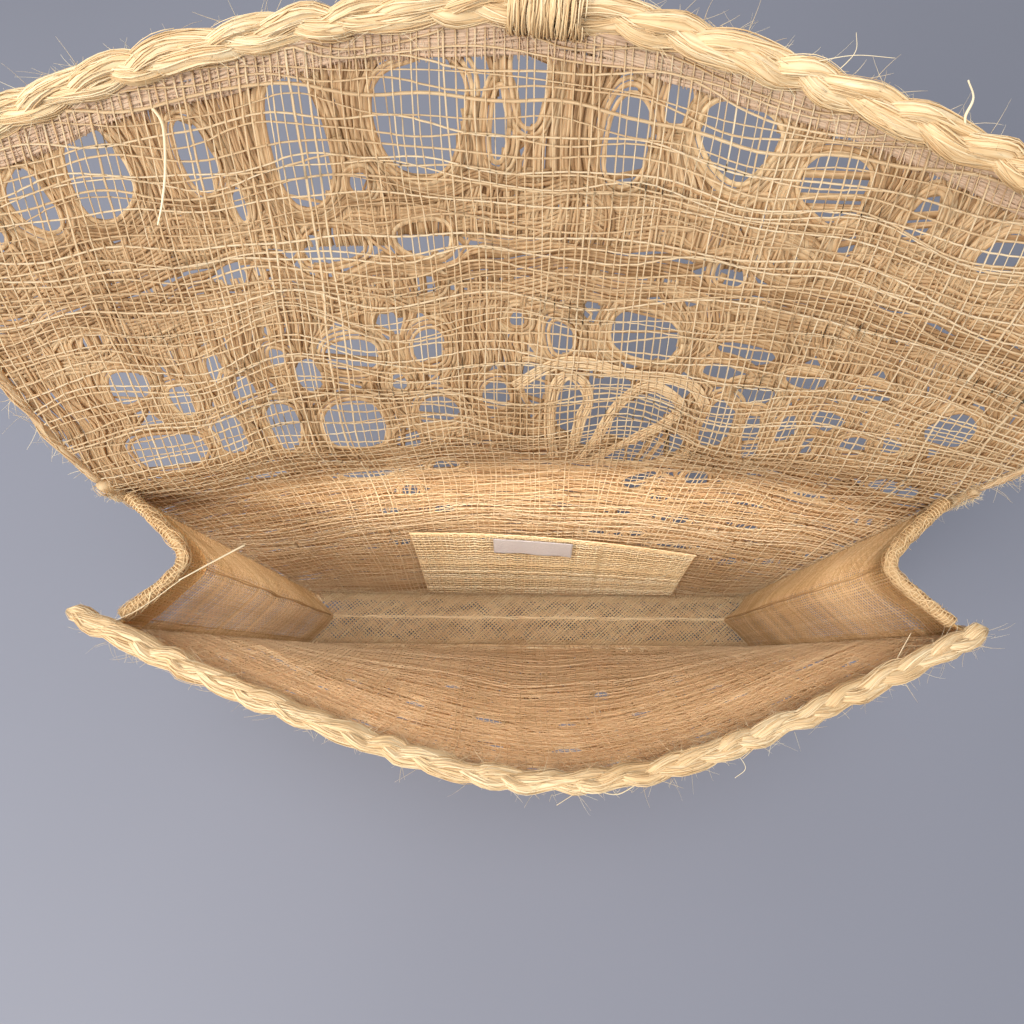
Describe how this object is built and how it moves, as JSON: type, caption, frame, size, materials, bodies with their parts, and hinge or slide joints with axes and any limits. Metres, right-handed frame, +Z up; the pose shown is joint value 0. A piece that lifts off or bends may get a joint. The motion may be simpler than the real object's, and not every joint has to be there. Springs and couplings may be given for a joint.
{
  "type": "straw clutch bag",
  "caption": "Open straw clutch with openwork panels, gauze lining, bellows gusset, braided rims, fold-over flap and a loop closure.",
  "frame": {"origin": "under the middle of the whole bag's box, on the surface that it stands on", "axes": "+X to the right as the front is looked at, +Y to the back wall and flap, +Z up"},
  "size_m": [0.3484, 0.2172, 0.324],
  "materials": {
    "straw": "flat dried straw strips, matte with a faint sheen",
    "braid": "plaited straw, pale and slightly glossy",
    "gauze": "open gauze of thin straw-coloured threads",
    "gusset_cloth": "finer gauze, folded double",
    "label_ribbon": "smooth woven ribbon, blank",
    "sewing_thread": "straw strand wound tight",
    "button_wood": "turned and waxed"
  },
  "bodies": {
    "bag_body": {"back_straw_panel": "straw", "back_gauze_lining": "gauze", "base_strip": "gusset_cloth", "bottom_braid_front": "braid", "bottom_braid_back": "braid", "back_side_binding_left": "gauze", "back_side_binding_right": "gauze", "inner_pocket": "gauze", "pocket_hem": "gauze", "blank_label": "label_ribbon"},
    "front_panel": {"front_straw_panel": "straw", "front_gauze_lining": "gauze", "front_rim_braid": "braid", "front_side_braid_left": "braid", "front_side_braid_right": "braid", "button": "button_wood", "button_shank": "sewing_thread"},
    "gusset_left_front": {"gusset_left_front": "gusset_cloth", "mouth_tape_left_front": "gauze"},
    "gusset_left_back": {"gusset_left_back": "gusset_cloth", "mouth_tape_left_back": "gauze"},
    "gusset_right_front": {"gusset_right_front": "gusset_cloth", "mouth_tape_right_front": "gauze"},
    "gusset_right_back": {"gusset_right_back": "gusset_cloth", "mouth_tape_right_back": "gauze"},
    "flap": {"flap_straw_panel": "straw", "flap_gauze_lining": "gauze", "flap_tip_braid": "braid", "flap_hem_left": "gauze", "flap_hem_right": "gauze", "loop_whipping": "sewing_thread"},
    "closure_loop": {"closure_loop": "braid"}
  },
  "joints": [
    {"name": "mouth_fold", "type": "hinge", "parent": "bag_body", "child": "front_panel", "pos_m": [0, -0.04579, 0.009], "axis": [-1, 0, 0], "range_deg": [-2, 11]},
    {"name": "flap_fold", "type": "hinge", "parent": "bag_body", "child": "flap", "pos_m": [0, -0.0059, 0.186], "axis": [1, 0, 0], "range_deg": [0, 107]},
    {"name": "loop_swing", "type": "hinge", "parent": "flap", "child": "closure_loop", "pos_m": [0.00048, 0.08343, 0.2935], "axis": [0.9924, -0.1233, 0], "range_deg": [-60, 60]},
    {"name": "gusset_left_front_fold", "type": "hinge", "parent": "front_panel", "child": "gusset_left_front", "pos_m": [-0.12402, -0.04359, 0.009], "axis": [-0.1453, -0.0552, 0.9879], "range_deg": [-34.5, 6.5]},
    {"name": "gusset_left_back_fold", "type": "hinge", "parent": "bag_body", "child": "gusset_left_back", "pos_m": [-0.12402, -0.01799, 0.009], "axis": [-0.1453, 0.0552, 0.9879], "range_deg": [-6.5, 34.5]},
    {"name": "gusset_right_front_fold", "type": "hinge", "parent": "front_panel", "child": "gusset_right_front", "pos_m": [0.12398, -0.04359, 0.009], "axis": [0.1453, -0.0552, 0.9879], "range_deg": [-6.5, 34.5]},
    {"name": "gusset_right_back_fold", "type": "hinge", "parent": "bag_body", "child": "gusset_right_back", "pos_m": [0.12398, -0.01799, 0.009], "axis": [0.1453, 0.0552, 0.9879], "range_deg": [-34.5, 6.5]}
  ],
  "couplings": [
    {"joint": "gusset_left_front_fold", "follows": "mouth_fold", "ratio": -3.09},
    {"joint": "gusset_left_back_fold", "follows": "mouth_fold", "ratio": 3.09},
    {"joint": "gusset_right_front_fold", "follows": "mouth_fold", "ratio": 3.09},
    {"joint": "gusset_right_back_fold", "follows": "mouth_fold", "ratio": -3.09}
  ]
}
